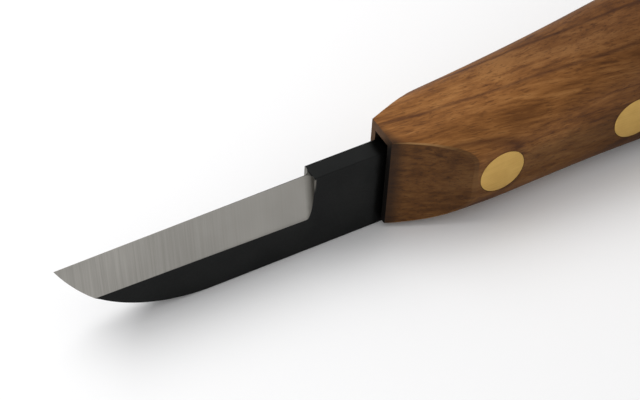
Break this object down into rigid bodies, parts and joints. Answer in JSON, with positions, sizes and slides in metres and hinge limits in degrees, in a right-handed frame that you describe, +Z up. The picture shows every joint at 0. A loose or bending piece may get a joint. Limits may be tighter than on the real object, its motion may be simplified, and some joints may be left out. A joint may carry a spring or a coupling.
{
  "type": "wood carving knife",
  "caption": "Short fixed-blade wood carving knife with a straight ground edge, a belly-curved spine and a shaped wooden handle riveted over its tang.",
  "frame": {"origin": "under the middle of the knife's length, on the surface that the underside of the handle rests on", "axes": "+X from the blade's tip to the handle's butt, +Y across the blade's thickness, +Z up from the spine to the cutting edge"},
  "size_m": [0.1726, 0.0184, 0.0281],
  "materials": {
    "blade_steel": "black forge scale on the bar, bright cross-ground bevels",
    "handle_wood": "oiled brown hardwood with dark pores and streaks",
    "rivet_brass": "satin, sanded flush with the wood"
  },
  "bodies": {
    "root": {"blade": "blade_steel", "handle": "handle_wood", "front_rivet_tube": "rivet_brass", "front_rivet_pin": "rivet_brass", "rear_rivet_tube": "rivet_brass", "rear_rivet_pin": "rivet_brass"}
  },
  "joints": []
}
